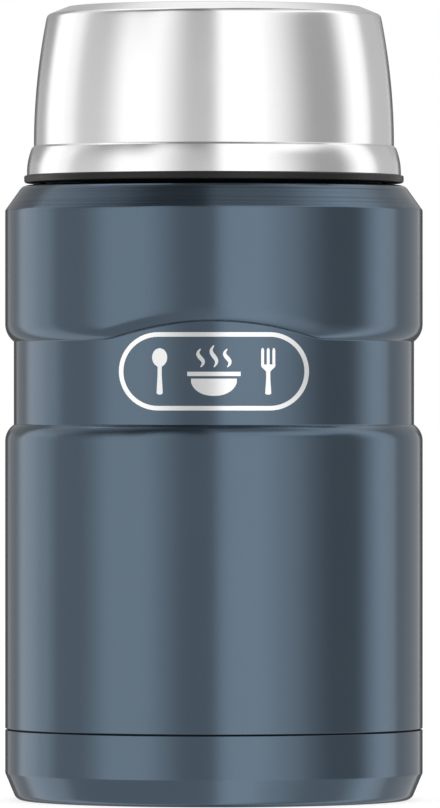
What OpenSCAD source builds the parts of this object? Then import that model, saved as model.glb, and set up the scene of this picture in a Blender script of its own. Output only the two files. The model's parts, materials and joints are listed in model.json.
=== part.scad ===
// Vacuum-insulated food jar with a screw stopper and a serving bowl that screws on as the lid.
// The base stands on Z = 0, the jar's axis is Z, and the front of the jar faces -Y.

/* [Body] */
// Outside diameter of the jar
body_d = 99; // [86:1:115]
// Height of the flat shoulder that carries the neck
shoulder_h = 145.6; // [141:0.2:160]
// Sheet thickness of the painted outer wall
outer_wall = 0.6; // [0.5:0.05:0.8]
// Radius of the shoulder's upper edge
shoulder_round = 2; // [1:0.25:2.5]
// Height of the slanted shoulder below the flat
shoulder_drop = 5.9; // [4:0.1:8]

/* [Grip band] */
// How far the grip band lies inside the body
grip_depth = 2.05; // [1.5:0.05:2.3]
// Height of the grip band
grip_h = 19.2; // [16:0.2:22]
// Height of the middle of the grip band
grip_mid = 99; // [94:0.5:101]
// Radius of the roll that leads into the grip band
roll_r = 5.3; // [4:0.1:7]
// Half width of the arch above the front of the grip band
arch_half_w = 22.6; // [19:0.2:26]
// Rise of that arch above the grip band
arch_rise = 4.4; // [3:0.1:6]

/* [Base] */
// Height of the seam between the body and the base cup
seam_h = 16.9; // [15:0.1:20]
// Width of the seam
seam_gap = 0.5; // [0.3:0.05:0.8]
// Height of the slanted foot of the base cup
foot_h = 6.4; // [5:0.1:6.8]
// How far that foot slants in
foot_in = 2.6; // [1.5:0.1:3.5]
// Depth of the hollow under the base
base_hollow = 1.2; // [0.6:0.1:1.8]
// Width of the flat ring that the jar stands on
base_ring_w = 9.4; // [7:0.2:14]

/* [Food chamber] */
// Gap between the outer wall and the food chamber's wall
wall_gap = 4.9; // [4:0.1:6.5]
// Height of the food chamber's floor above the table
chamber_floor_h = 13.8; // [13.2:0.2:16]
// Sheet thickness of the inner wall
inner_wall = 0.5; // [0.4:0.05:0.7]
// Radius of the corner between the chamber's floor and wall
chamber_corner = 7.5; // [5:0.5:10]
// Height of the slanted chamber top below the stopper's seat
chamber_top_h = 12; // [10:0.5:16]

/* [Neck] */
// Distance from the body's outside to the mouth
mouth_in = 13.5; // [13.2:0.1:15]
// Height of the lip above the shoulder
neck_h = 11.4; // [10.6:0.1:13]
// Vacuum gap between the two walls of the neck
neck_gap = 1.2; // [0.8:0.1:1.5]
// Depth of the stopper's seat below the lip
seat_depth = 16.2; // [15.6:0.1:18]
// Width of the stopper's seat
seat_w = 2.5; // [2:0.1:3]
// Wall of the threaded collar round the neck
collar_wall = 1.5; // [1.2:0.1:2]

/* [Threads] */
// Rise of one turn of the bowl's thread
bowl_lead = 16; // [14:0.5:20]
// Number of starts of the bowl's thread
bowl_starts = 4; // [3:1:4]
// Rise of one turn of the stopper's thread
stopper_lead = 12; // [10:0.5:13]
// Number of starts of the stopper's thread
stopper_starts = 3; // [2:1:3]
// How far a thread stands out of its wall
thread_depth = 1.05; // [0.9:0.05:1.2]
// Width of a thread at its root
thread_w = 2; // [1.6:0.1:2.2]
// Clearance between a thread's crest and the wall across from it
thread_clear = 0.3; // [0.25:0.05:0.4]

/* [Serving bowl] */
// Height of the bowl with its rim
bowl_h = 41.8; // [41:0.2:50]
// Gap between the bowl's rim and the jar's shoulder
bowl_gap = 0.6; // [0.4:0.1:1]
// Sheet thickness of the bowl's outer shell and liner
bowl_wall = 0.5; // [0.4:0.05:0.7]
// Wall of the rim inside the bowl's skirt
rim_wall = 2.55; // [2.3:0.05:2.9]
// How far the rim's lip stands out past the steel
lip_proud = 0.65; // [0.4:0.05:0.9]
// Height of the rim's lip
lip_h = 1.9; // [1.5:0.1:2.4]
// Height of the flared skirt above the lip
skirt_h = 7.1; // [6.8:0.1:8]
// How far the skirt stands out past the bowl's side
skirt_step = 1.65; // [1.4:0.05:1.9]
// Radius of the long curve of the bowl's side
side_r = 155; // [140:5:200]
// Height of the slanted edge round the bowl's flat foot
bevel_h = 1.9; // [1.4:0.1:2.4]
// Width of the slanted edge
bevel_w = 6; // [4:0.2:8]
// Air space above the liner's floor
air_gap = 2.2; // [1.8:0.1:3]

/* [Stopper] */
// Wall of the stopper's moulding
stopper_wall = 1.6; // [1.4:0.1:2]
// Thickness of the stopper's gasket
gasket_h = 2.8; // [2.4:0.1:3.2]
// Height of the stopper above the lip
stopper_top_h = 8; // [7.6:0.1:8.4]
// How far the stopper's edge reaches past the mouth
stopper_brim = 1.3; // [0.8:0.1:1.6]
// Depth of the finger pockets in the stopper's top
pocket_depth = 3.2; // [2:0.2:3.6]
// Width of the grip bar between the finger pockets
grip_bar_w = 15; // [10:1:20]

/* [Relief valve] */
// Diameter of the relief button
button_d = 12; // [10:0.5:14]
// Travel of the relief button
button_travel = 2; // [1:0.25:2.2]
// Diameter of the relief valve's stem
stem_d = 3.8; // [3:0.2:4.4]
// Wire thickness of the relief spring
spring_wire = 0.4; // [0.3:0.05:0.45]
// Coils of the relief spring
spring_coils = 4; // [3:1:5]

/* [Hidden] */
$fn = 96;

// Clearances
fit = 0.05;          // between parts pressed or glued together
seat_fit = 0.1;      // between shells that are snapped together
run_clear = 0.3;     // between parts that turn or slide past each other
through = 1;         // how far a cutting shape runs past what it cuts
small_arc_pieces = 6;     // straight pieces in the arc of a small rounding
large_arc_pieces = 12;    // and of a large one
large_arc_r = 4;

// Small sizes of the jar's pressings and mouldings
shoulder_margin = 0.3;
shoulder_edge_round = 1.2;
cup_hollow_slope = 1.5;
cup_hollow_round = 1;
cup_foot_round = 1.4;
outer_base_h = 2.6;
weld_above_corner = 0.7;
chamber_top_round = 4;
mouth_round = 0.4;
collar_below_lip = 1;

// Radii, from the mouth outwards
body_r = body_d / 2;
grip_r = body_r - grip_depth;
mouth_r = body_r - mouth_in;
inner_neck_r = mouth_r + inner_wall;
neck_r = inner_neck_r + neck_gap + outer_wall;
collar_r = neck_r + fit + collar_wall;
rim_in_r = collar_r + thread_depth + thread_clear;
skirt_r = rim_in_r + rim_wall + seat_fit + bowl_wall;
lip_r = skirt_r + lip_proud;
side_low_r = skirt_r - skirt_step;
shoulder_top_r = lip_r + shoulder_margin;
chamber_r = body_r - outer_wall - wall_gap - inner_wall;
throat_r = mouth_r - seat_w;
spigot_r = body_r - outer_wall - fit;
outer_base_r = spigot_r - outer_wall - fit;
base_hollow_r = body_r - foot_in - base_ring_w - cup_hollow_slope;

// Small sizes of the bowl's rim and the stopper
rim_below_crease = 0.7;
brim_h = 2.5;

// Heights, from the table upwards
seam_low = seam_h - seam_gap / 2;
seam_high = seam_h + seam_gap / 2;
spigot_low = foot_h + 0.8;
outer_base_top = spigot_low + outer_base_h;
base_weld_h = chamber_floor_h + chamber_corner + weld_above_corner;
lip_z = shoulder_h + neck_h;
seat_z = lip_z - seat_depth;
chamber_top_low = seat_z - inner_wall - chamber_top_h;
collar_top = lip_z - collar_below_lip;
grip_low = grip_mid - grip_h / 2;
grip_high = grip_mid + grip_h / 2;
rim_low = shoulder_h + bowl_gap;
lip_top = rim_low + lip_h;
crease_z = lip_top + skirt_h;
rim_top = crease_z - rim_below_crease;
total_h = rim_low + bowl_h;
bevel_z = total_h - bevel_h;
liner_floor_z = total_h - bowl_wall - air_gap - bowl_wall;
stopper_z = lip_z + stopper_top_h;
brim_low = lip_z + run_clear;
brim_top = brim_low + brim_h;

// The roll into the grip band is an arc that ends on the band at this angle
roll_centre_r = body_r - roll_r;
roll_angle = acos((grip_r - roll_centre_r) / roll_r);
roll_h = roll_r * sin(roll_angle);

// The roll over the arch lies in a slanted plane, on the circle through the arch's top and its two ends
arch_half_angle = asin(arch_half_w / grip_r);
arch_top_z = grip_high + arch_rise + roll_h;
arch_slant = atan(arch_rise / (roll_centre_r * (1 - cos(arch_half_angle))));
arch_edge_slant = atan(arch_rise / (body_r * (1 - cos(arch_half_angle))));
arch_run = roll_centre_r * (1 - cos(arch_half_angle)) / cos(arch_slant);
arch_side = roll_centre_r * sin(arch_half_angle);
arch_ring_r = (arch_side * arch_side + arch_run * arch_run) / (2 * arch_run);
arch_blend = 0.08;   // how far that roll runs out past the body, so that the two cross cleanly

// Bowl
skirt_curve_r = 16;
skirt_curve_z = lip_top + 0.4;
crease_edge = 0.3;
bevel_edge_round = 0.8;
foot_edge_round = 2;
liner_top_r = rim_in_r - 3.2;
liner_corner = 4.5;
lip_bottom_round = 0.9;
lip_top_round = 0.3;
rim_inner_round = 0.4;
bevel_edge_r = side_low_r - side_r + sqrt(pow(side_r, 2) - pow(bevel_z - crease_z, 2));
bowl_foot_r = bevel_edge_r - bevel_w;

// Threads: the fixed lugs share one height, and the moving lugs hook under them with some slack
neck_thread_z = shoulder_h + 5.4;
thread_sink = 0.4;
flank = thread_w / 4 / (thread_depth + thread_sink);
thread_slack = 1.4 * thread_clear;
hooked_thread_z = neck_thread_z - thread_w / 2 - flank * (thread_depth - thread_clear) - thread_slack;
fixed_sweep = 78;
moving_sweep = 60;

// Vacuum space
plug_hole_r = 1.25;
plug_bead_h = 0.9;
getter_x = 22;
getter_r = 3.5;
getter_h = 1.5;
clip_t = 0.3;
clip_w = 4;
clip_foot = 2;
foil_t = 0.2;
foil_above_weld = 2;

// Stopper
gasket_r = mouth_r - thread_depth - thread_clear;
plug_r = gasket_r - 0.15;
brim_r = mouth_r + stopper_brim;
groove_r = throat_r - 2.5;
bead_r = groove_r + 0.9;
bead_h = 1.6;
stopper_low = seat_z - run_clear - bead_h;
stopper_round = 0.4;
core_r = plug_r - stopper_wall;
core_low_r = groove_r - stopper_wall;
core_step_z = seat_z + gasket_h + stopper_wall;
floor_z = stopper_low + stopper_wall;
boss_r = 4;
cap_edge_round = 2.4;
cap_spigot_r = core_r - seat_fit;
cap_spigot_h = 2;
cap_spigot_w = 2;
cap_hub_r = 14;
cap_rim_w = 4.3;
cap_well_wall = 1.8;
cap_well_bottom = 1.4;
overlap = 0.5;       // how far two shapes of one moulding run into each other
notch_count = 30;
notch_r = 1.5;
notch_in = 0.6;
gasket_round = 0.6;

// Relief valve
button_r = button_d / 2;
stem_r = stem_d / 2;
stem_bore_r = stem_r + run_clear;
well_r = button_r + run_clear;
button_h = 1.6;
button_round = 0.6;
button_low = stopper_z - button_h;
spring_spare = 0.8;  // space left under a button that is pressed down, besides the closed spring
well_floor = button_low - button_travel - spring_coils * spring_wire - spring_spare;
cap_well_low = well_floor - cap_well_bottom;
seal_h = 1.5;
seal_r = 6;
seal_top = stopper_low - fit;
barb_h = 0.8;
barb_r = stem_r + 0.8;
spring_r = stem_r + 2.2;
spring_sides = 6;
spring_rings_per_coil = 14;

// --- paths --------------------------------------------------------------------------------------
// A path is a list of [radius, height] on the right of the axis. It runs upwards along the outside,
// so its left is the inside of the piece.

function unit(v) = v / norm(v);
function left(v) = [-v[1], v[0]];
function reversed(path) = [for (i = [len(path) - 1 : -1 : 0]) path[i]];

function arc(cx, cy, r, from, to) =
    let (pieces = r > large_arc_r ? large_arc_pieces : small_arc_pieces)
    [for (i = [0 : pieces]) let (a = from + (to - from) * i / pieces) [cx + r * cos(a), cy + r * sin(a)]];

// The arc of radius r that rounds the corner p between its neighbours a and b
function corner(a, p, b, r) =
    let (u = unit(a - p), v = unit(b - p),
         half = acos(u * v) / 2,
         centre = p + unit(u + v) * r / sin(half),
         s = p + u * r / tan(half) - centre,
         e = p + v * r / tan(half) - centre,
         from = atan2(s[1], s[0]),
         turn = atan2(s[0] * e[1] - s[1] * e[0], s * e))
    arc(centre[0], centre[1], r, from, from + turn);

// A path whose points may hold a third value, the radius that their corner is rounded to
function rounded(list) =
    let (xy = [for (q = list) [q[0], q[1]]])
    [for (i = [0 : len(list) - 1])
        each len(list[i]) > 2 ? corner(xy[i - 1], xy[i], xy[i + 1], list[i][2]) : [xy[i]]];

// The path moved to its left by t, with mitred corners
function moved(path, t) =
    let (last = len(path) - 1,
         side = [for (i = [0 : last - 1]) left(unit(path[i + 1] - path[i]))])
    [for (i = [0 : last])
        let (a = side[max(i - 1, 0)], b = side[min(i, last - 1)])
        path[i] + t * (a + b) / (1 + a * b)];

// A sheet of thickness t on the left of the path
function sheet(path, t) = concat(path, reversed(moved(path, t)));

// Everything between the path and the axis
function filled(path) = concat([[0, path[0][1]]], path, [[0, path[len(path) - 1][1]]]);

// --- shapes used by several pieces --------------------------------------------------------------

module revolve(points) {
    rotate_extrude() polygon(points);
}

module ring(r_in, r_out, low, high) {
    revolve([[r_in, low], [r_out, low], [r_out, high], [r_in, high]]);
}

// One height of a right-hand thread, as short lugs of a ring that is tilted by the thread's angle.
// A crest radius above the root radius stands outwards, and one below it stands inwards.
module thread(root_r, crest_r, lead, starts, sweep, mid_z) {
    tilt = atan(lead / (2 * PI * root_r));
    sunk_r = root_r + (crest_r > root_r ? -thread_sink : thread_sink);
    for (i = [0 : starts - 1])
        rotate([0, 0, 360 * i / starts - 90])
            translate([0, 0, mid_z])
                rotate([tilt, 0, 0])
                    rotate([0, 0, -sweep / 2])
                        rotate_extrude(angle = sweep)
                            polygon([
                                [sunk_r, -thread_w / 2], [crest_r, -thread_w / 4],
                                [crest_r, thread_w / 4], [sunk_r, thread_w / 2]]);
}

// --- jar ----------------------------------------------------------------------------------------

// The jar's outside from the spigot to the neck, run on past both ends by extra
function jar_path(extra) =
    let (edge = [body_r, shoulder_h - shoulder_drop],
         top = [shoulder_top_r, shoulder_h],
         foot = [neck_r, shoulder_h])
    concat(
        [[spigot_r, spigot_low - extra], [spigot_r, seam_high], [body_r, seam_high]],
        arc(roll_centre_r, grip_low - roll_h, roll_r, 0, roll_angle),
        arc(roll_centre_r, grip_high + roll_h, roll_r, -roll_angle, 0),
        corner([body_r, grip_high], edge, top, shoulder_edge_round),
        corner(edge, top, foot, shoulder_round),
        [foot, [neck_r, lip_z - outer_wall + extra]]);

// What the arch takes out of the front above the grip band, under its own slanted roll
module arch_cut(inset) {
    difference() {
        intersection() {
            ring(grip_r - inset, body_r + through, grip_high - overlap, arch_top_z + through);
            translate([0, -body_r, arch_top_z])
                rotate([-arch_edge_slant, 0, 0])
                    translate([-body_d, -body_d, -body_d])
                        cube([2 * body_d, 3 * body_d, body_d]);
        }
        translate([0, -roll_centre_r, arch_top_z])
            rotate([-arch_slant, 0, 0])
                translate([0, arch_ring_r, 0])
                    rotate_extrude()
                        translate([arch_ring_r, 0])
                            circle(r = roll_r - inset + arch_blend);
    }
}

module jar_solid(inset, extra) {
    difference() {
        revolve(filled(moved(jar_path(extra), inset)));
        arch_cut(inset);
    }
}

module outer_shell() {
    color("slategray")
        difference() {
            jar_solid(0, 0);
            jar_solid(outer_wall, through);
        }
}

// Cup that is pushed on over the shell's spigot, with a shallow hollow underneath
module base_cup() {
    color("slategray")
        revolve(sheet(rounded([
            [0, base_hollow],
            [base_hollow_r, base_hollow, cup_hollow_round],
            [base_hollow_r + cup_hollow_slope, 0, cup_hollow_round],
            [body_r - foot_in, 0, cup_foot_round],
            [body_r, foot_h, cup_foot_round],
            [body_r, seam_low]]), outer_wall));
}

// Pressed bottom that closes the vacuum space, with the hole that the air is drawn out through
module outer_base() {
    color("silver")
        revolve(sheet([
            [outer_base_r, spigot_low],
            [outer_base_r, outer_base_top],
            [plug_hole_r, outer_base_top]], outer_wall));
}

module evacuation_plug() {
    color("dimgray")
        translate([0, 0, outer_base_top - outer_wall]) {
            cylinder(r = plug_hole_r - fit, h = outer_wall);
            translate([0, 0, -plug_bead_h])
                cylinder(r1 = plug_hole_r + 0.5, r2 = plug_hole_r + 1.5, h = plug_bead_h);
        }
}

module getter_pellet() {
    color("gray") translate([getter_x, 0, outer_base_top]) cylinder(r = getter_r, h = getter_h);
}

// Strap over the pellet, with a foot on each side of it
module getter_clip() {
    leg_x = getter_r + fit;
    color("silver")
        translate([getter_x, -clip_w / 2, outer_base_top]) {
            translate([-leg_x - clip_t, 0, getter_h]) cube([2 * (leg_x + clip_t), clip_w, clip_t]);
            for (side = [-1, 1]) {
                translate([side * (leg_x + clip_t / 2) - clip_t / 2, 0, 0])
                    cube([clip_t, clip_w, getter_h + clip_t]);
                translate([side * (leg_x + clip_foot / 2) - clip_foot / 2, 0, 0])
                    cube([clip_foot, clip_w, clip_t]);
            }
        }
}

// Foil wrapped round the inner vessel
module radiation_foil() {
    foil_r = chamber_r + inner_wall + fit;
    color("lightgray")
        ring(foil_r, foil_r + foil_t, base_weld_h + foil_above_weld, chamber_top_low - chamber_top_round);
}

// The chamber's dished floor
module inner_base() {
    r = chamber_r + inner_wall;
    z = chamber_floor_h - inner_wall;
    color("silver")
        revolve(sheet(rounded([
            [0, z], [r, z, chamber_corner + inner_wall], [r, base_weld_h]]), inner_wall));
}

// Food chamber wall, slanted top, stopper seat, neck, and the lip that joins the outer neck
module inner_vessel() {
    lean = atan((chamber_r - throat_r) / chamber_top_h);
    back_r = chamber_r + inner_wall;
    back_low = chamber_top_low + inner_wall * tan(lean / 2);
    seat_low = seat_z - inner_wall;
    color("silver") {
        revolve(concat(
            rounded([
                [back_r, base_weld_h],
                [back_r, back_low, chamber_top_round + inner_wall],
                [throat_r + inner_wall / cos(lean), seat_low],
                [inner_neck_r, seat_low],
                [inner_neck_r, lip_z - outer_wall],
                [neck_r, lip_z - outer_wall],
                [neck_r, lip_z, mouth_round],
                [mouth_r, lip_z, mouth_round],
                [mouth_r, seat_z],
                [throat_r, seat_z],
                [throat_r, seat_low]]),
            rounded([
                [throat_r, seat_low],
                [chamber_r, chamber_top_low, chamber_top_round],
                [chamber_r, base_weld_h]])));
        thread(mouth_r, mouth_r - thread_depth, stopper_lead, stopper_starts, fixed_sweep, neck_thread_z);
    }
}

// Plastic ring glued round the neck, with the thread for the bowl
module neck_collar() {
    color("darkslategray") {
        ring(neck_r + fit, collar_r, shoulder_h, collar_top);
        thread(collar_r, collar_r + thread_depth, bowl_lead, bowl_starts, fixed_sweep, neck_thread_z);
    }
}

// --- serving bowl -------------------------------------------------------------------------------

// The skirt bulges on an arc from the lip to the crease
function skirt(inset, high) =
    let (r = skirt_curve_r - inset)
    arc(skirt_r - skirt_curve_r, skirt_curve_z, r, 0, asin((high - skirt_curve_z) / r));

// The bowl's side leans in on one long arc from the crease to the slanted edge
function side_arc(high) =
    arc(side_low_r - side_r, crease_z, side_r, 0, asin((high - crease_z) / side_r));

module bowl_shell() {
    side = side_arc(bevel_z - bevel_edge_round);
    edge = [bevel_edge_r, bevel_z];
    foot = [bowl_foot_r, total_h];
    middle = [0, total_h];
    color("lightgray")
        revolve(sheet(concat(
            [[skirt_r, lip_top]],
            skirt(0, crease_z - crease_edge),
            side,
            corner(side[len(side) - 1], edge, foot, bevel_edge_round),
            corner(edge, foot, middle, foot_edge_round),
            [middle]), bowl_wall));
}

module bowl_liner() {
    color("silver")
        revolve(sheet(rounded([
            [rim_in_r, rim_top],
            [liner_top_r, liner_floor_z, liner_corner],
            [0, liner_floor_z]]), -bowl_wall));
}

// Plastic rim that carries the bowl's thread and joins its two walls
module bowl_rim() {
    inset = bowl_wall + seat_fit;
    color("black") {
        revolve(concat(
            rounded([
                [rim_in_r, rim_top],
                [rim_in_r, rim_low, rim_inner_round],
                [lip_r, rim_low, lip_bottom_round],
                [lip_r, lip_top, lip_top_round],
                [skirt_r - inset, lip_top]]),
            skirt(inset, rim_top)));
        thread(rim_in_r, rim_in_r - thread_depth, bowl_lead, bowl_starts, moving_sweep, hooked_thread_z);
    }
}

// --- stopper ------------------------------------------------------------------------------------

// Plug with a groove for the gasket under it, hollow for the foam, with a boss round the valve's stem
module stopper_body() {
    groove_top = seat_z + gasket_h + fit;
    color("black") {
        difference() {
            revolve(filled(rounded([
                [0, stopper_low],
                [bead_r, stopper_low, stopper_round],
                [bead_r, seat_z - run_clear, stopper_round],
                [groove_r, seat_z - run_clear],
                [groove_r, groove_top],
                [plug_r, groove_top, stopper_round],
                [plug_r, brim_low],
                [brim_r, brim_low, stopper_round],
                [brim_r, brim_top]])));
            difference() {
                union() {
                    translate([0, 0, floor_z])
                        cylinder(r = core_low_r, h = brim_top - floor_z + through);
                    translate([0, 0, core_step_z])
                        cylinder(r = core_r, h = brim_top - core_step_z + through);
                }
                cylinder(r = boss_r, h = cap_well_low - seat_fit);
            }
            translate([0, 0, stopper_low - through]) cylinder(r = stem_bore_r, h = stopper_z);
        }
        thread(plug_r, plug_r + thread_depth, stopper_lead, stopper_starts, moving_sweep, hooked_thread_z);
    }
}

// Top with two finger pockets, a grip bar, a notched edge and the well of the relief button
module stopper_cap() {
    color("black")
        difference() {
            union() {
                revolve(rounded([
                    [0, brim_top], [brim_r, brim_top],
                    [brim_r, stopper_z, cap_edge_round], [0, stopper_z]]));
                ring(cap_spigot_r - cap_spigot_w, cap_spigot_r,
                     brim_top - cap_spigot_h, brim_top + overlap);
                translate([0, 0, cap_well_low])
                    cylinder(r = well_r + cap_well_wall, h = brim_top - cap_well_low + overlap);
            }
            difference() {
                ring(cap_hub_r, brim_r - cap_rim_w, stopper_z - pocket_depth, stopper_z + through);
                translate([-brim_r, -grip_bar_w / 2, 0])
                    cube([2 * brim_r, grip_bar_w, stopper_z + 2 * through]);
            }
            translate([0, 0, well_floor]) cylinder(r = well_r, h = stopper_z);
            translate([0, 0, cap_well_low - through]) cylinder(r = stem_bore_r, h = stopper_z);
            for (i = [0 : notch_count - 1])
                rotate([0, 0, 360 * (i + 0.5) / notch_count])
                    translate([brim_r + notch_r - notch_in, 0, brim_top + notch_in])
                        cylinder(r = notch_r, h = stopper_z);
        }
}

module stopper_insulation() {
    top = cap_well_low - seat_fit;
    low_r = core_low_r - 2 * seat_fit;
    high_r = core_r - 2 * seat_fit;
    color("whitesmoke")
        difference() {
            union() {
                translate([0, 0, floor_z + seat_fit]) cylinder(r = low_r, h = top - floor_z - seat_fit);
                translate([0, 0, core_step_z + seat_fit])
                    cylinder(r = high_r, h = top - core_step_z - seat_fit);
            }
            cylinder(r = boss_r + seat_fit, h = stopper_z);
        }
}

module stopper_gasket() {
    in_r = groove_r + fit;
    color("darkgray")
        revolve(rounded([
            [in_r, seat_z], [gasket_r, seat_z, gasket_round],
            [gasket_r, seat_z + gasket_h, gasket_round], [in_r, seat_z + gasket_h]]));
}

// --- relief valve in the middle of the stopper --------------------------------------------------

// Button and stem in one, with a barb that holds the seal on
module relief_button() {
    seal_low = seal_top - seal_h;
    color("dimgray") {
        revolve(rounded([
            [0, button_low], [button_r, button_low], [button_r, stopper_z, button_round], [0, stopper_z]]));
        translate([0, 0, seal_low]) cylinder(r = stem_r, h = button_low - seal_low + overlap);
        translate([0, 0, seal_low - barb_h]) cylinder(r1 = stem_r, r2 = barb_r, h = barb_h);
    }
}

module relief_seal() {
    color("darkgray") ring(stem_r, seal_r, seal_top - seal_h, seal_top);
}

// How far up the spring its wire is after so many coils. The first and last coils are closed.
function spring_share(coil, closed) =
    coil < 1 ? coil * closed
    : coil > spring_coils - 1 ? 1 - (spring_coils - coil) * closed
    : closed + (coil - 1) * (1 - 2 * closed) / (spring_coils - 2);

// The spring's wire, swept round a helix between the well's floor and the button
module relief_spring() {
    wire_r = spring_wire / 2;
    low = well_floor + wire_r + fit;
    rise = button_low - wire_r - fit - low;
    rings = spring_coils * spring_rings_per_coil;
    points = [for (i = [0 : rings], k = [0 : spring_sides - 1])
        let (coil = i / spring_rings_per_coil, turn = 360 * coil, a = 360 * k / spring_sides,
             z = low + rise * spring_share(coil, (spring_wire + fit) / rise),
             r = spring_r + wire_r * cos(a))
        [r * cos(turn), r * sin(turn), z + wire_r * sin(a)]];
    sides = [for (i = [0 : rings - 1], k = [0 : spring_sides - 1])
        let (a = i * spring_sides + k, b = i * spring_sides + (k + 1) % spring_sides)
        [a, a + spring_sides, b + spring_sides, b]];
    ends = [[for (k = [0 : spring_sides - 1]) k],
            [for (k = [spring_sides - 1 : -1 : 0]) rings * spring_sides + k]];
    color("silver") polyhedron(points = points, faces = concat(sides, ends), convexity = 4);
}

// --- assembly -----------------------------------------------------------------------------------

outer_shell();
base_cup();
outer_base();
evacuation_plug();
getter_pellet();
getter_clip();
radiation_foil();
inner_vessel();
inner_base();
neck_collar();
bowl_shell();
bowl_liner();
bowl_rim();
stopper_body();
stopper_cap();
stopper_insulation();
stopper_gasket();
relief_button();
relief_spring();
relief_seal();
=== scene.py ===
import json
import math

import bpy
import bmesh
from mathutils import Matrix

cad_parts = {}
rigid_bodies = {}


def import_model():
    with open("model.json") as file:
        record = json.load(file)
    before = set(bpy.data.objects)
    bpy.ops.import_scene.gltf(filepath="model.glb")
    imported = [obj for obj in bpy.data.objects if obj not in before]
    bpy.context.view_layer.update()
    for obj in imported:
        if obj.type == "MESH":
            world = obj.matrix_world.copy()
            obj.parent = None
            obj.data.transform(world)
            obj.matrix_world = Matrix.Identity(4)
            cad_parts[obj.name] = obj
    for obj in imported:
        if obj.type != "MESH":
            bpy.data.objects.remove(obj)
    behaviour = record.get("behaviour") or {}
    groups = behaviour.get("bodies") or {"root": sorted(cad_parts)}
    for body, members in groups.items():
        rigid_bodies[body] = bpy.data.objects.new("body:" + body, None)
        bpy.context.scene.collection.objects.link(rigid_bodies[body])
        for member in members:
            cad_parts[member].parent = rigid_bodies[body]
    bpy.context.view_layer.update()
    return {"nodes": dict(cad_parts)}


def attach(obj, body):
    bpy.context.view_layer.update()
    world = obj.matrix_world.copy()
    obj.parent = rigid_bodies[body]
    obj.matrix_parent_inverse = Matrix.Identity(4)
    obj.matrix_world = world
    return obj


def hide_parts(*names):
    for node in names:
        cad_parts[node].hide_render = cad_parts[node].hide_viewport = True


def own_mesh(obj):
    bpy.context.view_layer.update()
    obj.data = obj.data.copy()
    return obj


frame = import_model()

mm = 0.001
nodes = frame["nodes"]

# Sizes are millimetres in the dictionaries of the pieces, and metres in the studio's. Angles round the jar
# start at its front and run to the right.


def unitStep(ax, az, bx, bz):
    run = math.hypot(bx - ax, bz - az)
    return (bx - ax) / run, (bz - az) / run


def cornerArc(before, at, after, rounding, steps):
    # the arc that rounds the corner "at", from the side of "before" to the side of "after"
    ux, uz = unitStep(at[0], at[1], before[0], before[1])
    vx, vz = unitStep(at[0], at[1], after[0], after[1])
    half = math.acos(max(-1.0, min(1.0, ux * vx + uz * vz))) / 2
    mx, mz = unitStep(0, 0, ux + vx, uz + vz)
    cx, cz = at[0] + mx * rounding / math.sin(half), at[1] + mz * rounding / math.sin(half)
    back = rounding / math.tan(half)
    sx, sz = at[0] + ux * back - cx, at[1] + uz * back - cz
    ex, ez = at[0] + vx * back - cx, at[1] + vz * back - cz
    start = math.atan2(sz, sx)
    turn = math.atan2(sx * ez - sz * ex, sx * ex + sz * ez)
    return [(cx + rounding * math.cos(start + turn * k / steps),
             cz + rounding * math.sin(start + turn * k / steps)) for k in range(steps + 1)]


def arcRun(cx, cz, radius, fromDeg, toDeg, steps):
    return [(cx + radius * math.cos(math.radians(fromDeg + (toDeg - fromDeg) * k / steps)),
             cz + radius * math.sin(math.radians(fromDeg + (toDeg - fromDeg) * k / steps)))
            for k in range(steps + 1)]


def profile(items, closed=False, hold=0.15, steps=6):
    # items are (r, z), (r, z, rounding), (r, z, rounding, steps) or a whole run of points; straights get
    # a point near each end, so that a flat wall beside a small rounding still shades flat
    def near(item, end):
        return item[end] if isinstance(item, list) else item[:2]

    runs = []
    for i, item in enumerate(items):
        if isinstance(item, list):
            runs.append(item)
        elif len(item) > 2:
            before, after = near(items[i - 1], -1), near(items[(i + 1) % len(items)], 0)
            runs.append(cornerArc(before, item[:2], after, item[2], item[3] if len(item) > 3 else steps))
        else:
            runs.append([tuple(item)])
    points = []
    for run, following in zip(runs, runs[1:] + [runs[0] if closed else None]):
        points += run
        if following is None:
            continue
        (ax, az), (bx, bz) = run[-1], following[0]
        if math.hypot(bx - ax, bz - az) > 4 * hold:
            ux, uz = unitStep(ax, az, bx, bz)
            points += [(ax + ux * hold, az + uz * hold), (bx - ux * hold, bz - uz * hold)]
    return points


def roundAngles(count=256):
    return [2 * math.pi * k / count for k in range(count)]


def addObject(name, data):
    made = bpy.data.objects.new(name, data)
    bpy.context.scene.collection.objects.link(made)
    return made


def meshObject(name, verts, faces, body, material, replaces=(), sharpAbove=None):
    mesh = bpy.data.meshes.new(name)
    mesh.from_pydata([(x * mm, y * mm, z * mm) for x, y, z in verts], [], faces)
    work = bmesh.new()
    work.from_mesh(mesh)
    bmesh.ops.remove_doubles(work, verts=work.verts, dist=1e-7)
    bmesh.ops.recalc_face_normals(work, faces=work.faces)
    work.to_mesh(mesh)
    work.free()
    mesh.polygons.foreach_set("use_smooth", [True] * len(mesh.polygons))
    if sharpAbove:
        mesh.set_sharp_from_angle(angle=math.radians(sharpAbove))
    mesh.update()
    made = addObject(name, mesh)
    mesh.materials.append(material)
    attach(made, body)
    if replaces:
        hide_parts(*replaces)
    return made


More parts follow.
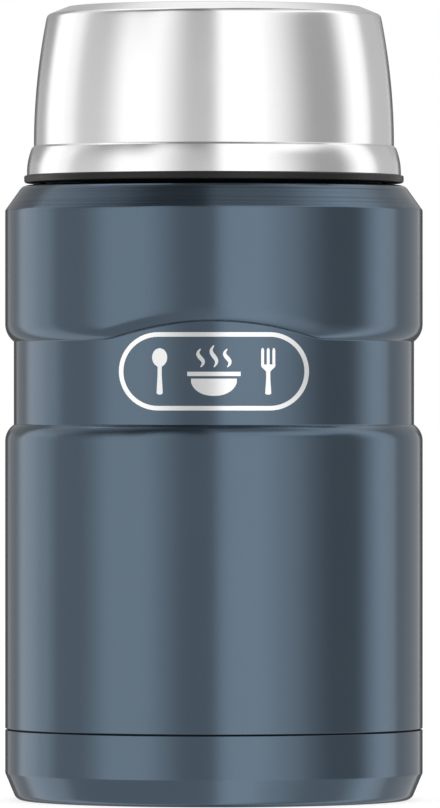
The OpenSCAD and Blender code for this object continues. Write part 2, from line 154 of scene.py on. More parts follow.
def lathe(name, path, body, material, replaces, closed=True, angles=None, hold=0.15):
    # path is a list of items for profile, or a function that gives one for an angle
    angles = angles or roundAngles()
    fixed = None if callable(path) else profile(path, closed, hold)
    rows = [fixed or profile(path(a), closed, hold) for a in angles]
    count = len(rows[0])
    verts, grid, poles = [], [], {}
    for a, row in zip(angles, rows):
        line = []
        for k, (r, z) in enumerate(row):
            if r < 1e-6:
                if k not in poles:
                    poles[k] = len(verts)
                    verts.append((0, 0, z))
                line.append(poles[k])
            else:
                line.append(len(verts))
                verts.append((r * math.sin(a), -r * math.cos(a), z))
        grid.append(line)
    faces = []
    for i in range(len(grid)):
        here, there = grid[i], grid[(i + 1) % len(grid)]
        for k in range(count if closed else count - 1):
            n = (k + 1) % count
            corners = [here[k], there[k], there[n], here[n]]
            kept = [c for j, c in enumerate(corners) if c not in corners[:j]]
            if len(kept) > 2:
                faces.append(kept)
    return meshObject(name, verts, faces, body, material, replaces)


def tubeFaces(base, rings, sides):
    # the skin over rings of verts, with a face over each end
    faces = []
    for i in range(rings):
        p, q = base + sides * i, base + sides * (i + 1)
        for k in range(sides):
            n = (k + 1) % sides
            faces.append((p + k, q + k, q + n, p + n))
    faces.append(tuple(base + k for k in range(sides)))
    faces.append(tuple(base + sides * rings + k for k in reversed(range(sides))))
    return faces


def smooth(t):
    t = max(0.0, min(1.0, t))
    return t * t * (3 - 2 * t)


def feed(tree, socket, value):
    # a socket gets a link from another socket, or a plain value
    if isinstance(value, bpy.types.NodeSocket):
        tree.links.new(value, socket)
    else:
        socket.default_value = (*value, 1) if isinstance(value, tuple) else value


def addNode(tree, kind, at, inputs=None, **settings):
    made = tree.nodes.new(kind)
    made.location = at
    for key, value in settings.items():
        setattr(made, key, value)
    for key, value in (inputs or {}).items():
        feed(tree, made.inputs[key], value)
    return made


def mathNode(tree, operation, at, *values, clamp=False):
    made = addNode(tree, "ShaderNodeMath", at, dict(enumerate(values)), operation=operation, use_clamp=clamp)
    return made.outputs[0]


def ranged(tree, at, value, low, high, fromLow=0.0, fromHigh=1.0):
    made = addNode(tree, "ShaderNodeMapRange", at, {
        "Value": value, "From Min": fromLow, "From Max": fromHigh, "To Min": low, "To Max": high})
    return made.outputs[0]


def noiseNode(tree, at, vector, scale, detail, roughness=0.5, distortion=0.0):
    made = addNode(tree, "ShaderNodeTexNoise", at, {
        "Vector": vector, "Scale": scale, "Detail": detail, "Roughness": roughness, "Distortion": distortion})
    return made.outputs["Fac"]


def cellNode(tree, at, vector, scale, feature, output="Distance"):
    made = addNode(tree, "ShaderNodeTexVoronoi", at, {"Vector": vector, "Scale": scale}, feature=feature)
    return made.outputs[output]


def splitAxes(tree, at, vector):
    return addNode(tree, "ShaderNodeSeparateXYZ", at, {0: vector}).outputs


def mixColour(tree, at, factor, first, second):
    # 6, 7 and 2 are the node's colour sockets
    return addNode(tree, "ShaderNodeMix", at, {0: factor, 6: first, 7: second}, data_type="RGBA").outputs[2]


def mixShaders(tree, at, share, first, second):
    return addNode(tree, "ShaderNodeMixShader", at, {0: share, 1: first, 2: second}).outputs[0]


def seenDirectly(tree, at):
    # 1 for camera, glossy and transmission rays, else 0
    path = addNode(tree, "ShaderNodeLightPath", at).outputs
    seen = mathNode(tree, "ADD", (at[0] + 200, at[1]), path["Is Camera Ray"], path["Is Glossy Ray"])
    return mathNode(tree, "ADD", (at[0] + 360, at[1]), seen, path["Is Transmission Ray"], clamp=True)


def startGroup(name, values, results):
    # every group takes a vector and plain values, and gives plain values
    group = bpy.data.node_groups.new(name, "ShaderNodeTree")
    group.interface.new_socket(name="Vector", in_out="INPUT", socket_type="NodeSocketVector")
    for label, value in values.items():
        socket = group.interface.new_socket(name=label, in_out="INPUT", socket_type="NodeSocketFloat")
        socket.default_value = value
    for label in results:
        group.interface.new_socket(name=label, in_out="OUTPUT", socket_type="NodeSocketFloat")
    return group, addNode(group, "NodeGroupInput", (-900, 0)).outputs


def endGroup(group, **results):
    addNode(group, "NodeGroupOutput", (700, 0), results)
    return group


def buildTurnedLines():
    # fine lines left by the lathe, running round the axis on walls and on flat ends alike
    group, given = startGroup("turnedLines", {"Lines": 900.0, "Length": 14.0}, ("Height", "Mask"))
    x, y, z = splitAxes(group, (-700, 0), given["Vector"])
    xx = mathNode(group, "MULTIPLY", (-540, 120), x, x)
    yy = mathNode(group, "MULTIPLY", (-540, -40), y, y)
    radius = mathNode(group, "SQRT", (-260, 60), mathNode(group, "ADD", (-400, 60), xx, yy))
    inward = mathNode(group, "MULTIPLY", (-180, -60), radius, -0.6)
    along = mathNode(group, "ADD", (-110, 60), inward, z)
    joined = addNode(group, "ShaderNodeCombineXYZ", (200, 60), {
        "X": mathNode(group, "MULTIPLY", (40, 220), x, given["Length"]),
        "Y": mathNode(group, "MULTIPLY", (40, -100), y, given["Length"]),
        "Z": mathNode(group, "MULTIPLY", (40, 60), along, given["Lines"])})
    noise = noiseNode(group, (360, 60), joined.outputs[0], 1.0, 4.0, 0.62)
    return endGroup(group, Height=noise, Mask=ranged(group, (520, -120), noise, 0, 1, 0.35, 0.68))


def buildSmudges():
    # faint prints and wipe marks, which only change the gloss
    group, given = startGroup("smudges", {"Scale": 30.0}, ("Mask",))
    finer = mathNode(group, "MULTIPLY", (-680, -160), given["Scale"], 7.0)
    both = mathNode(group, "MULTIPLY", (-260, 0),
                    noiseNode(group, (-500, 120), given["Vector"], given["Scale"], 3.0, distortion=0.6),
                    noiseNode(group, (-500, -160), given["Vector"], finer, 6.0, 0.65))
    return endGroup(group, Mask=ranged(group, (-60, 0), both, 0, 1, 0.18, 0.36))


def buildMouldGrain():
    # the even, fine grain of an eroded mould
    group, given = startGroup("mouldGrain", {"Scale": 2200.0}, ("Height", "Mask"))
    broader = mathNode(group, "MULTIPLY", (-700, -160), given["Scale"], 0.3)
    cloud = noiseNode(group, (-500, -160), given["Vector"], broader, 3.0, 0.6)
    height = mathNode(group, "ADD", (-260, 0),
                      cellNode(group, (-500, 120), given["Vector"], given["Scale"], "SMOOTH_F1"),
                      mathNode(group, "MULTIPLY", (-260, -200), cloud, 0.6))
    return endGroup(group, Height=height, Mask=cloud)


def buildPaintFlake():
    # metal flakes under the lacquer, and the slight waviness of sprayed paint
    group, given = startGroup("paintFlake", {"Flakes": 2600.0, "Waves": 420.0}, ("Flake", "Height", "Cloud"))
    flakes = cellNode(group, (-500, 200), given["Vector"], given["Flakes"], "F1", "Color")
    broader = mathNode(group, "MULTIPLY", (-700, -280), given["Waves"], 0.07)
    return endGroup(group, Flake=addNode(group, "ShaderNodeRGBToBW", (-300, 200), {0: flakes}).outputs[0],
                    Height=noiseNode(group, (-500, -40), given["Vector"], given["Waves"], 2.0),
                    Cloud=noiseNode(group, (-500, -280), given["Vector"], broader, 4.0, 0.55))


turnedLines = buildTurnedLines()
smudges = buildSmudges()
mouldGrain = buildMouldGrain()
paintFlake = buildPaintFlake()
print("node groups built")


def startMaterial(name, plain):
    # plain holds the values that are the same all over, set on the shader itself
    made = bpy.data.materials.new(name)
    made.use_nodes = True
    tree = made.node_tree
    shader = tree.nodes["Principled BSDF"]
    for key, value in plain.items():
        feed(tree, shader.inputs[key], value)
    return made, tree, shader, addNode(tree, "ShaderNodeTexCoord", (-1300, 0)).outputs["Object"]


def useGroup(tree, group, at, vector, **values):
    return addNode(tree, "ShaderNodeGroup", at, {"Vector": vector, **values}, node_tree=group).outputs


def dress(tree, shader, colour, rough, height, strength, distance):
    # what changes over the surface: colour, roughness and the height of a bump
    bump = addNode(tree, "ShaderNodeBump", (-240, -300), {
        "Height": height, "Strength": strength, "Distance": distance * mm})
    feed(tree, shader.inputs["Base Color"], colour)
    feed(tree, shader.inputs["Roughness"], rough)
    feed(tree, shader.inputs["Normal"], bump.outputs[0])


def tinted(colour, factor, lift=0.0):
    return tuple(min(1.0, c * factor + lift) for c in colour)


paint = {"dark": (0.101, 0.144, 0.191), "light": (0.114, 0.159, 0.208), "roughness": (0.15, 0.18),
         "flakeShare": 0.35, "waveDepth": 0.25, "shoulder": (139.2, 146.2), "shoulderBlend": 1.0,
         "streaks": (0.50, 0.64), "streakTone": 0.74, "streakDepth": 4.5}


def makeBodyPaint(p):
    made, tree, shader, place = startMaterial("slatePaint", {
        "Metallic": 1.0, "Coat Weight": 0.2, "Coat Roughness": 0.08, "Coat IOR": 1.45})
    flake = useGroup(tree, paintFlake, (-1000, 200), place)
    marks = useGroup(tree, smudges, (-1000, -120), place, Scale=22.0)
    lines = useGroup(tree, turnedLines, (-1000, -320), place, Lines=1600.0, Length=9.0)
    tone = mathNode(tree, "ADD", (-760, 240),
                    mathNode(tree, "MULTIPLY", (-760, 400), flake["Flake"], p["flakeShare"]),
                    mathNode(tree, "MULTIPLY", (-760, 120), flake["Cloud"], 1 - p["flakeShare"]))
    sprayed = mixColour(tree, (-500, 260), tone, p["dark"], p["light"])
    up = splitAxes(tree, (-1000, -560), place)["Z"]
    low, high = (h * mm for h in p["shoulder"])
    blend = p["shoulderBlend"] * mm
    onShoulder = mathNode(tree, "MULTIPLY", (-600, -560),
                          ranged(tree, (-800, -520), up, 0, 1, low, low + blend),
                          ranged(tree, (-800, -760), up, 1, 0, high - blend, high))
    streak = mathNode(tree, "MULTIPLY", (-420, -420), lines["Height"], onShoulder)
    height = mathNode(tree, "ADD", (-240, -300),
                      mathNode(tree, "MULTIPLY", (-420, -260), flake["Height"], p["waveDepth"]),
                      mathNode(tree, "MULTIPLY", (-240, -480), streak, p["streakDepth"]))
    onLine = mathNode(tree, "MULTIPLY", (-420, -620), onShoulder,
                      ranged(tree, (-600, -760), lines["Height"], 0, 1, *p["streaks"]))
    dress(tree, shader, mixColour(tree, (-240, 260), onLine, sprayed, tinted(p["dark"], p["streakTone"])),
          ranged(tree, (-500, -40), marks["Mask"], *p["roughness"]), height, 0.35, 0.02)
    return made


# the broader rings left where a flat end was spun
spun = {"lines": 1300.0, "length": 5.0, "blend": 0.08, "tone": 0.90, "ringTone": 0.78, "ringRough": 0.12,
        "ringDepth": 3.5}


def makeSteel(name, colour, roughness, lineDepth, lines=1500.0, lineTone=0.965, lineRough=0.03,
              spunAbove=None):
    made, tree, shader, place = startMaterial(name, {"Metallic": 1.0})
    turned = useGroup(tree, turnedLines, (-1000, 120), place, Lines=lines, Length=6.0)
    marks = useGroup(tree, smudges, (-1000, -200), place, Scale=26.0)
    tone = mixColour(tree, (-500, 240), turned["Mask"], colour, tinted(colour, lineTone))
    rough = mathNode(tree, "ADD", (-500, -60),
                     ranged(tree, (-740, -20), turned["Mask"], roughness, roughness + lineRough),
                     mathNode(tree, "MULTIPLY", (-740, -260), marks["Mask"], 0.03))
    height = turned["Height"]
    if spunAbove:
        rings = useGroup(tree, turnedLines, (-1000, 460), place, Lines=spun["lines"], Length=spun["length"])
        onEnd = ranged(tree, (-800, -560), splitAxes(tree, (-1000, -560), place)["Z"], 0, 1,
                       (spunAbove - spun["blend"]) * mm, spunAbove * mm)
        onRing = mathNode(tree, "MULTIPLY", (-620, 460), rings["Mask"], onEnd)
        duller = mixColour(tree, (-340, 560), onEnd, tone, tinted(colour, spun["tone"]))
        tone = mixColour(tree, (-180, 480), onRing, duller, tinted(colour, spun["ringTone"]))
        rough = mathNode(tree, "ADD", (-340, -60), rough,
                         mathNode(tree, "MULTIPLY", (-500, 60), onRing, spun["ringRough"]))
        height = mathNode(tree, "ADD", (-420, -300), height,
                          mathNode(tree, "MULTIPLY", (-600, -420), onRing, spun["ringDepth"]))
    dress(tree, shader, tone, rough, height, 0.25, lineDepth)
    return made


def makeMoulded(name, first, second, roughness, plain, grain=1800.0, smudge=34.0, strength=0.3):
    # plastic and rubber out of a mould
    made, tree, shader, place = startMaterial(name, {"Metallic": 0.0, **plain})
    mould = useGroup(tree, mouldGrain, (-1000, 120), place, Scale=grain)
    marks = useGroup(tree, smudges, (-1000, -200), place, Scale=smudge)
    dress(tree, shader, mixColour(tree, (-500, 240), mould["Mask"], first, second),
          ranged(tree, (-500, -60), marks["Mask"], *roughness), mould["Height"], strength, 0.02)
    return made


def makePlastic(name, colour, roughness, gloss=0.35):
    return makeMoulded(name, colour, tinted(colour, 1.28, 0.004), (roughness, roughness + 0.12),
                       {"IOR": 1.5, "Specular IOR Level": gloss})


def makeFoam():
    made, tree, shader, place = startMaterial("insulationFoam", {"Metallic": 0.0})
    cells = cellNode(tree, (-1000, 120), place, 900.0, "SMOOTH_F1")
    dress(tree, shader, mixColour(tree, (-500, 240), cells, (0.62, 0.61, 0.57), (0.82, 0.81, 0.77)), 0.9,
          cells, 0.6, 0.25)
    return made


def makeFoil():
    made, tree, shader, place = startMaterial("crinkledFoil", {"Metallic": 1.0})
    creases = cellNode(tree, (-1000, 120), place, 120.0, "DISTANCE_TO_EDGE")
    cloud = noiseNode(tree, (-1000, -160), place, 60.0, 5.0)
    dress(tree, shader, mixColour(tree, (-500, 240), cloud, (0.80, 0.80, 0.79), (0.91, 0.91, 0.90)),
          ranged(tree, (-500, -60), cloud, 0.18, 0.34),
          mathNode(tree, "ADD", (-600, -300), creases, cloud), 0.7, 0.3)
    return made


def makeGrainy(name, metallic, noise, first, second, roughness, strength, distance):
    # pressed powder, the glassy seal and the print: one noise drives all of it
    made, tree, shader, place = startMaterial(name, {"Metallic": metallic})
    grain = noiseNode(tree, (-1000, 120), place, *noise)
    dress(tree, shader, mixColour(tree, (-500, 240), grain, first, second),
          ranged(tree, (-500, -60), grain, *roughness), grain, strength, distance)
    return made


def makeGranular(name, colour, roughness, metallic):
    return makeGrainy(name, metallic, (2500.0, 5.0, 0.7), colour, tinted(colour, 1.6),
                      (roughness, roughness + 0.2), 0.4, 0.05)


slatePaint = makeBodyPaint(paint)
satinSteel = makeSteel("satinSteel", (0.955, 0.955, 0.955), 0.16, 0.0015, lineTone=0.99, lineRough=0.01,
                       spunAbove=187.9)
innerSteel = makeSteel("innerSteel", (0.80, 0.80, 0.79), 0.24, 0.007, lines=1600.0)
blackPlastic = makePlastic("blackPlastic", (0.006, 0.006, 0.006), 0.32)
mattePlastic = makePlastic("mattePlastic", (0.005, 0.005, 0.005), 0.5, gloss=0.12)
greyPlastic = makePlastic("greyPlastic", (0.15, 0.155, 0.16), 0.42)
# near-black and rough, for the seam's bottom faces: painted shade in the gap between the body and the base
# cup
paintedSeamShade = makePlastic("paintedSeamShade", (0.004, 0.005, 0.007), 0.7)
siliconeRubber = makeMoulded("siliconeRubber", (0.42, 0.43, 0.43), (0.50, 0.51, 0.51), (0.42, 0.58),
                             {"IOR": 1.42, "Subsurface Weight": 0.15, "Subsurface Scale": 0.001},
                             grain=900.0, smudge=60.0, strength=0.2)
insulationFoam = makeFoam()
crinkledFoil = makeFoil()
getterPowder = makeGranular("getterPowder", (0.16, 0.155, 0.15), 0.55, 0.4)
sealGlass = makeGranular("sealGlass", (0.10, 0.11, 0.10), 0.12, 0.0)
springSteel = makeSteel("springSteel", (0.70, 0.70, 0.69), 0.22, 0.002, lines=3000.0)
silverPrint = makeGrainy("silverPrint", 0.92, (3000.0, 3.0), (0.93, 0.93, 0.94), (0.99, 0.99, 1.0),
                         (0.17, 0.25), 0.1, 0.006)
print("finishes made")

jarBody = {
    "radius": 49.5, "wall": 0.6, "spigot": 48.85, "spigotLow": 7.2, "seamTop": 17.02, "grip": 47.45,
    "gripLow": 88.95, "gripHigh": 108.6, "rollRadius": 5.3, "rollHeight": 4.19, "rollAngle": 52.2,
    "lowRollRadius": 4.7, "lowRollHeight": 3.88, "lowRollAngle": 55.7, "edgeRound": 0.9,
    "shoulderEdge": 139.7, "shoulderTop": (45.3, 145.6), "shoulderRound": 2.2, "neck": 38.3, "neckTop": 156.4,
    "archPeak": 112.84, "archHalfWidth": 24.2, "archRollHeight": 4.1, "archBlend": 0.7, "archFlat": 1.6,
}


def archEdge(b, angle):
    # height of the recess's upper edge, which rises in an arch over the front
    across = b["grip"] * math.sin(angle)
    if math.cos(angle) < 0 or abs(across) > b["archFlat"] * b["archHalfWidth"]:
        return b["gripHigh"]
    rise = b["archPeak"] - b["gripHigh"]
    sweep = (b["archHalfWidth"] ** 2 + rise ** 2) / (2 * rise)
    arch = b["archPeak"] - sweep + math.sqrt(sweep ** 2 - across ** 2)
    gap = arch - b["gripHigh"]
    return b["gripHigh"] + (gap + math.sqrt(gap * gap + b["archBlend"] ** 2)) / 2


def bodyPath(angle):
    b = jarBody
    w, body, grip, neck = b["wall"], b["radius"], b["grip"], b["neck"]
    spigot, seam = b["spigot"], b["seamTop"]
    topR, topZ = b["shoulderTop"]
    edge = archEdge(b, angle)
    share = smooth((edge - b["gripHigh"]) / (b["archPeak"] - b["gripHigh"]))
    height = b["rollHeight"] + (b["archRollHeight"] - b["rollHeight"]) * share
    lowRoll = arcRun(body - b["lowRollRadius"], b["gripLow"] - b["lowRollHeight"], b["lowRollRadius"],
                     0, b["lowRollAngle"], 16)
    # the roll over the recess keeps its angle, and its height is stretched to fit
    steps = 20
    fall = math.sin(math.radians(b["rollAngle"]))
    highRoll = []
    for k in range(steps + 1):
        a = math.radians(b["rollAngle"] * (1 - k / steps))
        highRoll.append((body - b["rollRadius"] + b["rollRadius"] * math.cos(a),
                         edge + height * (1 - math.sin(a) / fall)))
    return [
        (spigot, b["spigotLow"], 0.1, 2), (spigot, seam, 0.1, 2), (body, seam, 0.14, 4), lowRoll, highRoll,
        (body, b["shoulderEdge"], b["edgeRound"]), (topR, topZ, b["shoulderRound"]), (neck, topZ, 0.3, 3),
        (neck, b["neckTop"], 0.15, 2), (neck - w, b["neckTop"], 0.15, 2), (neck - w, topZ - w, 0.3, 2),
        (topR - 0.3, topZ - w, 1.0, 2), (body - w, b["shoulderEdge"] - 0.3, 0.6, 2),
        (body - w, edge + height + 0.3, 0.6, 2), (grip - w, edge, 0.6, 2), (grip - w, b["gripLow"], 0.6, 2),
        (body - w, b["gripLow"] - b["lowRollHeight"], 0.6, 2), (body - w, seam + w, 0.1, 2),
        (spigot - w, seam + w - 0.1, 0.05, 2), (spigot - w, b["spigotLow"], 0.1, 2)]


# fine steps across the arch, coarser ones round the rest
archSpan, frontSteps, restSteps = 42, 168, 196
frontAngles = [math.radians(-archSpan + 2 * archSpan * k / frontSteps) for k in range(frontSteps + 1)]
restAngles = [math.radians(archSpan + (360 - 2 * archSpan) * k / restSteps) for k in range(1, restSteps)]
shell = lathe("paintedShell", bodyPath, "jar", slatePaint, ["outer_shell"],
              angles=frontAngles + restAngles)
# the seam's bottom faces get the near-black finish, which is painted shade in the gap
shell.data.materials.append(paintedSeamShade)
for face in shell.data.polygons:   # the seam's bottom, between the body and the base cup
    x, y, z = face.center
    if z < (jarBody["seamTop"] - 0.02) * mm and math.hypot(x, y) < (jarBody["spigot"] + 0.1) * mm:
        face.material_index = 1

baseCup = {"radius": 49.5, "wall": 0.6, "hollow": 36.0, "hollowDepth": 1.2, "slope": 1.5, "foot": 46.8,
           "footHeight": 6.4, "footRound": 2.2, "edgeRound": 0.9, "top": 16.65}


def makeBaseCup(c):
    w, hollow, depth, radius = c["wall"], c["hollow"], c["hollowDepth"], c["radius"]
    lathe("baseCup", [
        (0, depth), (hollow, depth, 1.0), (hollow + c["slope"], 0, 1.0), (c["foot"], 0, c["footRound"], 8),
        (radius, c["footHeight"], c["edgeRound"]), (radius, c["top"], 0.14, 4), (radius - w, c["top"], 0.1),
        (radius - w, c["footHeight"] + 0.2, 0.6), (c["foot"] - 0.45, w, 0.6),
        (hollow + c["slope"] + 0.3, w, 0.6), (hollow + 0.3, depth + w, 0.6), (0, depth + w)],
        "jar", slatePaint, ["base_cup"], closed=False)


makeBaseCup(baseCup)
print("painted body built")

# the mark in the recess is generic: a plain pill with a bowl, a spoon and a fork
badge = {
    "height": 101.4, "width": 44.2, "tall": 18.2, "line": 1.05, "surface": 47.45, "proud": 0.08, "sunk": 0.1,
    "bowlHalf": 6.2, "bowlDepth": 4.0, "steam": ((-3.1, 4.2), (0.0, 5.0), (3.1, 4.2)), "steamSway": 0.62,
    "utensil": 12.6, "utensilLow": -5.4, "spoonTall": 10.8, "spoonHalf": 1.75, "forkTall": 7.0,
    "tines": (-1.3, 0.0, 1.3), "tineTall": 3.9, "tineHalf": 0.34,
}


def wrapStrip(verts, faces, sideA, sideB, closed=False):
    # a thin raised strip between two lines of (across, height), laid on the recess's cylinder
    surface = badge["surface"]
    low, high = surface - badge["sunk"], surface + badge["proud"]

    def place(u, v, r):
        return u * r / surface, -math.sqrt(surface ** 2 - u * u) * r / surface, v

    base = len(verts)
    for (au, av), (bu, bv) in zip(sideA, sideB):
        verts += [place(au, av, high), place(bu, bv, high), place(bu, bv, low), place(au, av, low)]
    count = len(sideA)
    for i in range(count if closed else count - 1):
        a, b = base + 4 * i, base + 4 * ((i + 1) % count)
        for k in range(4):
            n = (k + 1) % 4
            faces.append((a + k, a + n, b + n, b + k))
    if not closed:
        faces.append((base + 3, base + 2, base + 1, base))
        end = base + 4 * (count - 1)
        faces.append((end, end + 1, end + 2, end + 3))


def stroke(verts, faces, line, halfWidths):
    sideA, sideB = [], []
    for i, (u, v) in enumerate(line):
        (au, av), (bu, bv) = line[max(i - 1, 0)], line[min(i + 1, len(line) - 1)]
        du, dv = unitStep(au, av, bu, bv)
        w = halfWidths[i]
        sideA.append((u - dv * w, v + du * w))
        sideB.append((u + dv * w, v - du * w))
    wrapStrip(verts, faces, sideA, sideB)


def pillLine(halfWidth, halfTall, steps=28):
    run, straight = halfWidth - halfTall, 24
    points = []
    for side, start in ((1, -90), (-1, 90)):
        for k in range(steps + 1):
            a = math.radians(start + 180 * k / steps)
            points.append((side * run + halfTall * math.cos(a), badge["height"] + halfTall * math.sin(a)))
        u, v = points[-1]
        for k in range(1, straight):
            points.append((u + (-side * run - u) * k / straight, v))
    return points


def makeBadge(b):
    verts, faces = [], []
    mid, line, low, beside = b["height"], b["line"], b["height"] + b["utensilLow"], b["utensil"]
    halfWidth, halfTall = b["width"] / 2, b["tall"] / 2
    outer, inner = pillLine(halfWidth, halfTall), pillLine(halfWidth - line, halfTall - line)
    wrapStrip(verts, faces, outer, inner, closed=True)
    # bowl: rim line and body
    half = b["bowlHalf"]
    stroke(verts, faces, [(-half + 2 * half * k / 20, mid - 0.6) for k in range(21)], [0.5] * 21)
    top = [(-5.3 + 10.6 * k / 24, mid - 1.7) for k in range(25)]
    under = [(u, v - b["bowlDepth"] * math.sqrt(max(0.0, 1 - (abs(u) / 5.45) ** 2.2))) for u, v in top]
    wrapStrip(verts, faces, top, under)
    for u0, tall in b["steam"]:
        curl = [(u0 + b["steamSway"] * math.sin(2 * math.pi * k / 22), mid + 1.0 + tall * k / 22)
                for k in range(23)]
        stroke(verts, faces, curl, [0.12 + 0.36 * math.sin(math.pi * k / 22) for k in range(23)])
    # spoon on the left
    points, widths = [], []
    for k in range(41):
        t = k / 40
        points.append((-beside, low + b["spoonTall"] * t))
        head = max(0.0, 1 - ((t - 0.80) / 0.20) ** 2)
        handle = 0.48 + 0.22 * (1 - smooth(t / 0.5)) if t < 0.8 else 0.0
        widths.append(max(handle * (0.32 if t == 0 else 1.0), b["spoonHalf"] * math.sqrt(head), 0.06))
    stroke(verts, faces, points, widths)
    # fork on the right: handle and shoulder in one strip, then the tines
    points, widths = [], []
    for k in range(31):
        t = k / 30
        points.append((beside, low + b["forkTall"] * t))
        widths.append(0.70 - 0.22 * smooth(t / 0.6) if t < 0.74
                      else 0.48 + 1.17 * smooth((t - 0.74) / 0.22))
    widths[0] = 0.4
    stroke(verts, faces, points, widths)
    for off in b["tines"]:
        tine = [(beside + off, mid + 1.5 + b["tineTall"] * k / 8) for k in range(9)]
        stroke(verts, faces, tine, [b["tineHalf"]] * 8 + [0.18])
    meshObject("silverMark", verts, faces, "jar", silverPrint, sharpAbove=40)


makeBadge(badge)
print("mark laid on the recess")

# thread lugs, shared by the collar, the bowl's rim and the stopper
thread = {"depth": 1.05, "rootWidth": 2.0, "crestWidth": 1.0, "sunk": 0.4, "taper": 7.0, "edge": 0.14}


def threadLugs(name, root, outwards, piece, body):
    # the lugs of one thread turn, each with run-outs at its ends
    verts, faces = [], []
    t = thread
    way = 1 if outwards else -1
    sweep, starts = piece["sweep"], piece["starts"]
    steps = 48
    rootHalf, crest = t["rootWidth"] / 2, t["crestWidth"] / 2
    for i in range(starts):
        base = len(verts)
        for k in range(steps + 1):
            phi = -sweep / 2 + sweep * k / steps
            fade = smooth(min(phi + sweep / 2, sweep / 2 - phi) / t["taper"])
            a = math.radians(phi + 360 * i / starts)
            z = piece["threadZ"] + piece["lead"] * phi / 360
            depth = -t["sunk"] * 0.5 + (t["depth"] + t["sunk"] * 0.5) * fade
            edge = t["edge"] * fade
            section = [(-t["sunk"], -rootHalf), (depth - edge, -crest - edge * 0.4), (depth, -crest + edge),
                       (depth, crest - edge), (depth - edge, crest + edge * 0.4), (-t["sunk"], rootHalf)]
            for out, up in section:
                r = root + way * out
                verts.append((r * math.sin(a), -r * math.cos(a), z + up))
        faces += tubeFaces(base, steps, len(section))
    meshObject(name, verts, faces, body, blackPlastic, sharpAbove=50)


collar = {"inner": 38.35, "outer": 39.85, "low": 145.6, "high": 156.0, "threadZ": 151.0, "lead": 16,
          "starts": 4, "sweep": 78}


def makeCollar(c):
    lathe("neckCollar", [
        (c["inner"], c["low"], 0.1), (c["outer"], c["low"], 0.1), (c["outer"], c["high"], 0.45),
        (c["inner"], c["high"], 0.25)], "jar", mattePlastic, ["neck_collar"])
    threadLugs("collarThread", c["outer"], True, c, "jar")


makeCollar(collar)
print("collar built")

# the serving bowl is the lid, turned upside down
bowl = {
    "wall": 0.5, "skirt": 44.35, "lipTop": 147.93, "skirtArc": 16.0, "skirtArcZ": 148.5, "crease": 154.9,
    "ledge": 0.48, "side": 42.7, "sideArc": 155.0, "bevelEdge": (39.5, 186.02), "bevelRound": 1.35,
    "foot": (34.7, 187.95), "footRound": 1.3, "mouth": 41.2, "linerTop": 154.5, "linerFloor": (38.0, 184.8),
    "linerCorner": 4.5, "rimLow": 146.12, "rimGap": 0.1, "lip": 45.0,
    "threadZ": 149.32, "lead": 16, "starts": 4, "sweep": 60,
}


def reach(height, radius):
    # the angle at which an arc of this radius has risen by this height
    return math.degrees(math.asin(height / radius))


def makeBowl(b):
    w, crease, skirt, skirtArc, arcZ = b["wall"], b["crease"], b["skirt"], b["skirtArc"], b["skirtArcZ"]
    mouth, linerTop, lip, lipTop, rimLow = b["mouth"], b["linerTop"], b["lip"], b["lipTop"], b["rimLow"]
    centre, sideArc = skirt - skirtArc, b["sideArc"]
    sideCentre = b["side"] - sideArc
    edgeR, edgeZ = b["bevelEdge"]
    footR, footZ = b["foot"]
    creaseLow = crease - b["ledge"]
    turn = reach(creaseLow - arcZ, skirtArc)
    lowSide, highSide = reach(0.5, sideArc), reach(edgeZ - 1.1 - crease, sideArc)
    lathe("bowlShell", [
        (0, footZ - w), (footR - 0.2, footZ - w, 1.0, 3), (edgeR - w, edgeZ - 0.3, 0.4, 3),
        arcRun(sideCentre, crease, sideArc - w, highSide, lowSide, 8),
        arcRun(centre, arcZ, skirtArc - w, turn - 1.2, 1, 6),
        (skirt - w, lipTop, 0.08, 2), (skirt, lipTop, 0.14, 4),
        arcRun(centre, arcZ, skirtArc, 0.5, turn - 0.8, 16),
        (centre + skirtArc * math.cos(math.radians(turn)), creaseLow, 0.1), (b["side"], crease, 0.15),
        arcRun(sideCentre, crease, sideArc, lowSide, highSide, 30),
        (edgeR, edgeZ, b["bevelRound"], 14), (footR, footZ, b["footRound"]), (0, footZ)],
        "bowl", satinSteel, ["bowl_shell"], closed=False, hold=0.12)
    floorR, floorZ = b["linerFloor"]
    lathe("bowlLiner", [
        (0, floorZ + w), (floorR + w, floorZ + w, b["linerCorner"] + w, 8), (mouth + w, linerTop, 0.1, 2),
        (mouth, linerTop, 0.1, 2), (floorR, floorZ, b["linerCorner"], 16), (0, floorZ)],
        "bowl_carrier", innerSteel, ["bowl_liner"], closed=False)
    inset = w + b["rimGap"]
    lathe("bowlRim", [
        (mouth, linerTop, 0.2, 3), (mouth, rimLow, 0.4), (lip, rimLow, 0.65), (lip, lipTop, 0.35),
        (skirt - inset, lipTop, 0.1, 2),
        arcRun(centre, arcZ, skirtArc - inset, 0, reach(linerTop - arcZ, skirtArc - inset), 8)],
        "bowl", blackPlastic, ["bowl_rim"])
    threadLugs("rimThread", mouth, False, b, "bowl")


makeBowl(bowl)
print("serving bowl built")

stopper = {
    "low": 138.9, "stemHole": 2.2, "bead": (31.9, 140.5), "groove": (31.0, 143.65), "plug": 34.5,
    "brim": 37.3, "brimLow": 157.3, "brimTop": 159.8, "core": 32.9, "coreStep": 145.2, "coreLow": 29.4,
    "floor": 140.5, "boss": (4.0, 157.5), "threadZ": 149.32, "lead": 12, "starts": 3, "sweep": 60,
    "gasketIn": 31.05, "gasketOut": 34.65, "gasketLow": 140.8, "gasketHigh": 143.6, "ribDepth": 0.22,
}
cap = {
    "top": 165.0, "edgeRound": 2.4, "notches": 30, "notchRadius": 1.5, "notchDepth": 0.6, "notchLow": 160.4,
    "pocketIn": 14.0, "pocketOut": 33.0, "pocketDepth": 3.2, "pocketWall": 1.6, "gripBar": 15.0,
    "well": 6.3, "wellFloor": 159.0, "wellOut": 8.1, "wellLow": 157.6, "spigot": (30.8, 32.8),
    "spigotLow": 157.8,
}


